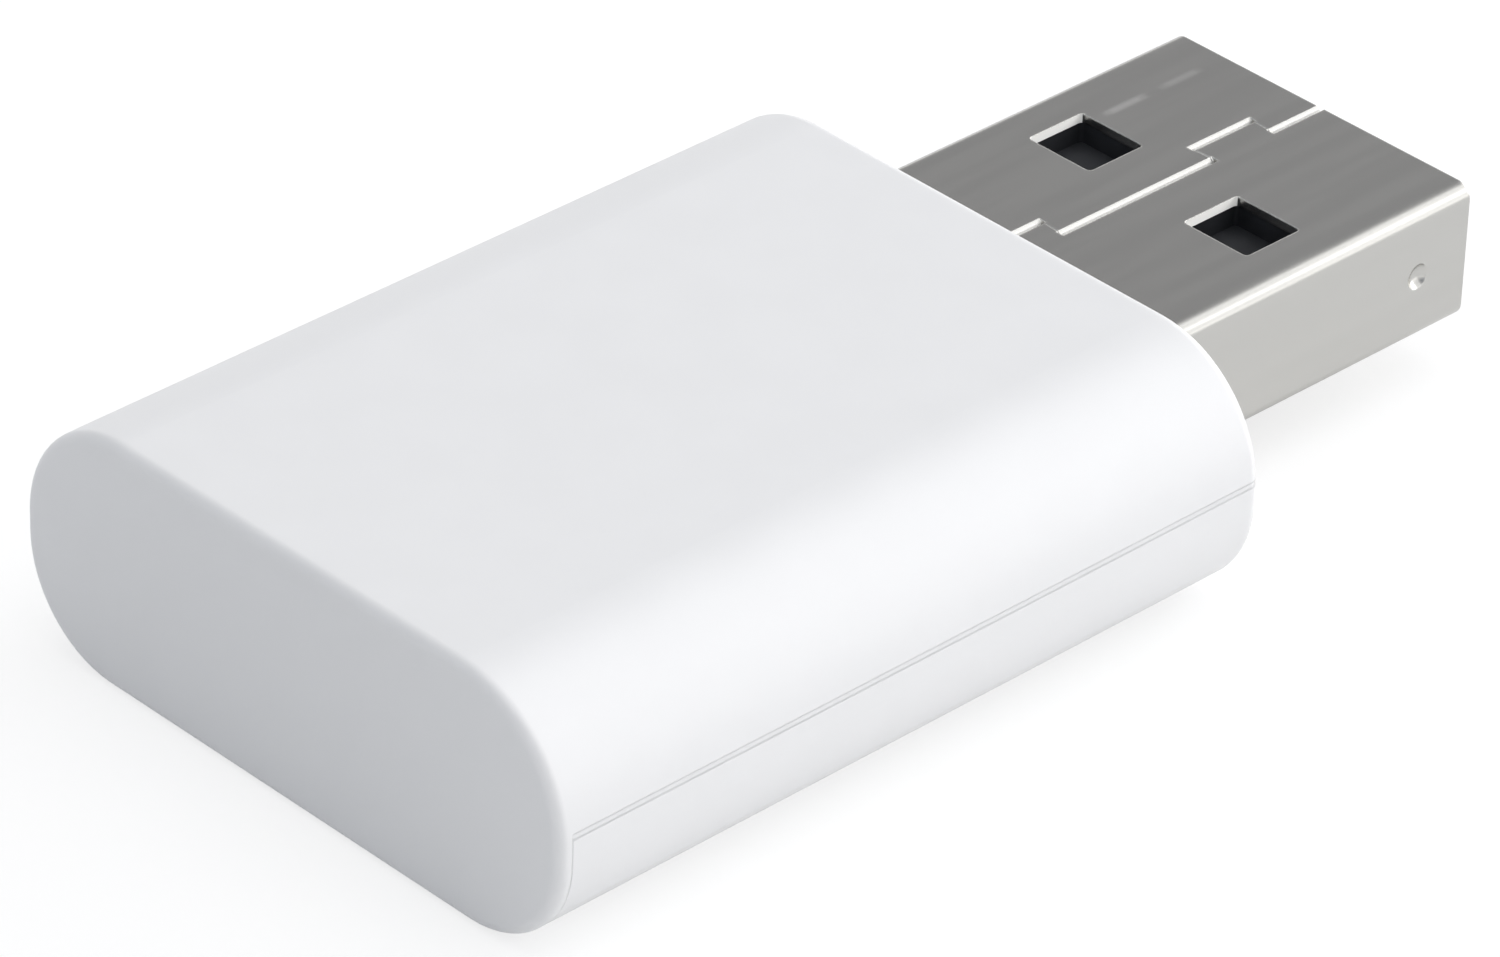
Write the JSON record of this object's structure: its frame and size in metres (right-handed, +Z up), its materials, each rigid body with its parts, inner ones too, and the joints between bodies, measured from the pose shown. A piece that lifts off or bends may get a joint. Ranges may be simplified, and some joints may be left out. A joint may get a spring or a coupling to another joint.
{
  "type": "signal repeater",
  "caption": "Flat white stick with rounded sides, a two-part moulded case, a folded steel plug on one end and a small radio board inside.",
  "frame": {"origin": "under the middle of the whole stick, in the plane of the flat face that it lies on", "axes": "+X runs from the closed end of the case to the tip of the plug, +Z is up, through the face that carries the plug's seam, and +Y runs across the stick"},
  "size_m": [0.0406, 0.0218, 0.0081],
  "materials": {
    "case_plastic": "fine satin moulded white",
    "plug_steel": "nickel-plated rolled steel",
    "insulator_plastic": "matt black moulded",
    "contact_gold": "thin gold plate",
    "board_laminate": "green solder mask over glass laminate",
    "module_laminate": "dark blue solder mask over glass laminate",
    "copper": "bare copper track",
    "tin_plate": "tinned sheet",
    "chip_resin": "matt black resin",
    "capacitor_ceramic": "fired ceramic with tinned ends",
    "resistor_film": "black film on ceramic with tinned ends",
    "led_resin": "clear resin over a white base"
  },
  "bodies": {
    "root": {"upper_shell": "case_plastic", "lower_shell": "case_plastic", "plug_shell": "plug_steel", "plug_insulator": "insulator_plastic", "ground_contact": "contact_gold", "data_plus_contact": "contact_gold", "data_minus_contact": "contact_gold", "supply_contact": "contact_gold", "circuit_board": "board_laminate", "module_board": "module_laminate", "antenna_trace": "copper", "shield_can": "tin_plate", "radio_chip": "chip_resin", "radio_crystal": "tin_plate", "decoupling_capacitors": "capacitor_ceramic", "voltage_regulator": "chip_resin", "regulator_leads": "tin_plate", "input_capacitor": "capacitor_ceramic", "output_capacitor": "capacitor_ceramic", "led_resistor": "resistor_film", "status_led": "led_resin"}
  },
  "joints": []
}
